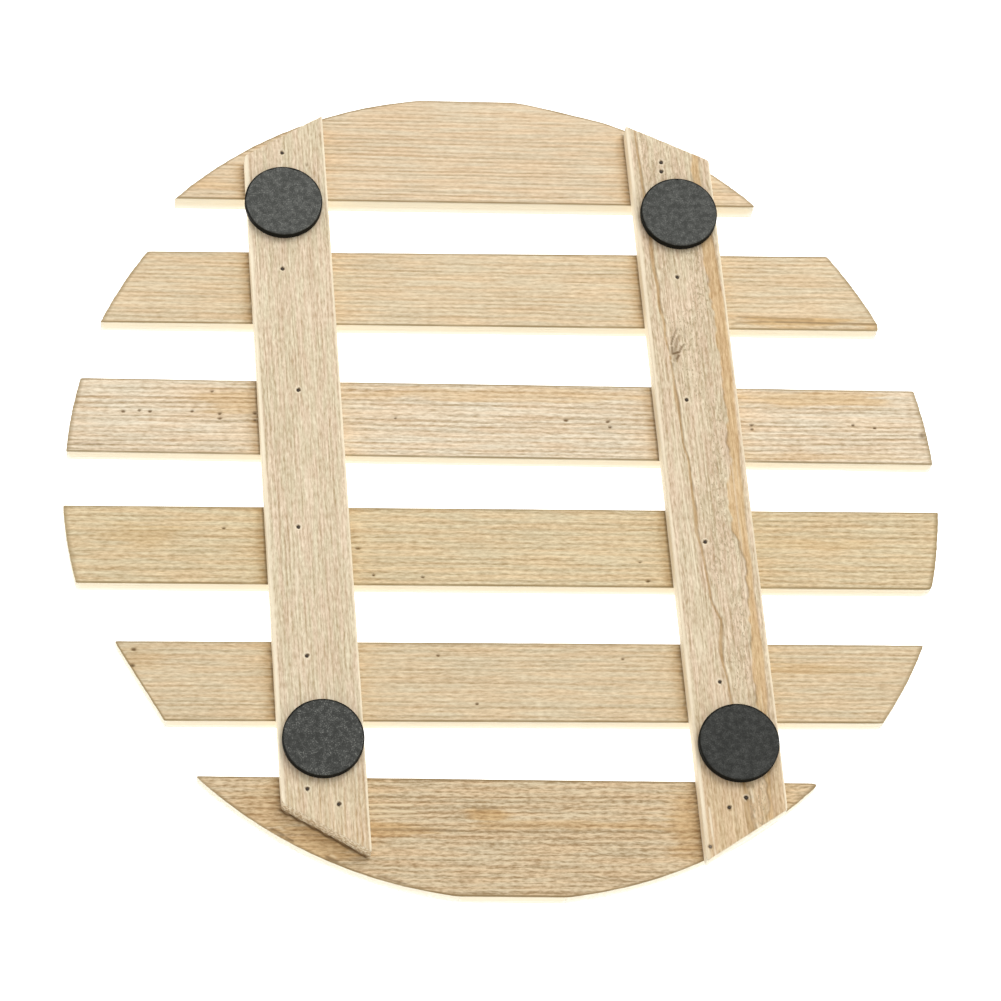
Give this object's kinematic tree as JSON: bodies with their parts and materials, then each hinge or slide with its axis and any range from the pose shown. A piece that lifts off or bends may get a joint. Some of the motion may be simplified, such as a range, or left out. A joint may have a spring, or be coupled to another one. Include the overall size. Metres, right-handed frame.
{
  "type": "bamboo trivet",
  "caption": "Round kitchen trivet of flat bamboo slats nailed to two cross battens, with round rubber feet on its underside.",
  "frame": {"origin": "below the middle of the round outline, in the plane of the slats' pot faces", "axes": "+Z out of the underside, through the battens and the feet; +X along the slats; +Y across them, from slat_6 towards slat_1"},
  "size_m": [0.1774, 0.1774, 0.0097],
  "materials": {
    "slat_bamboo": "planed, unvarnished",
    "slat_bamboo_brown": "planed, unvarnished, darker and stained",
    "batten_bamboo": "planed, unvarnished",
    "foot_rubber": "matt, finely speckled",
    "nail_steel": "dark bare steel"
  },
  "bodies": {
    "root": {"slat_1": "slat_bamboo", "slat_2": "slat_bamboo", "slat_3": "slat_bamboo", "slat_4": "slat_bamboo", "slat_5": "slat_bamboo", "slat_6": "slat_bamboo_brown", "batten_left": "batten_bamboo", "batten_right": "batten_bamboo", "foot_far_left": "foot_rubber", "foot_far_right": "foot_rubber", "foot_near_left": "foot_rubber", "foot_near_right": "foot_rubber", "nail_left_1": "nail_steel", "nail_left_2": "nail_steel", "nail_left_3": "nail_steel", "nail_left_4": "nail_steel", "nail_left_5": "nail_steel", "nail_left_6": "nail_steel", "nail_left_7": "nail_steel", "nail_right_1": "nail_steel", "nail_right_2": "nail_steel", "nail_right_3": "nail_steel", "nail_right_4": "nail_steel", "nail_right_5": "nail_steel", "nail_right_6": "nail_steel", "nail_right_7": "nail_steel", "nail_right_8": "nail_steel", "nail_right_9": "nail_steel"}
  },
  "joints": []
}
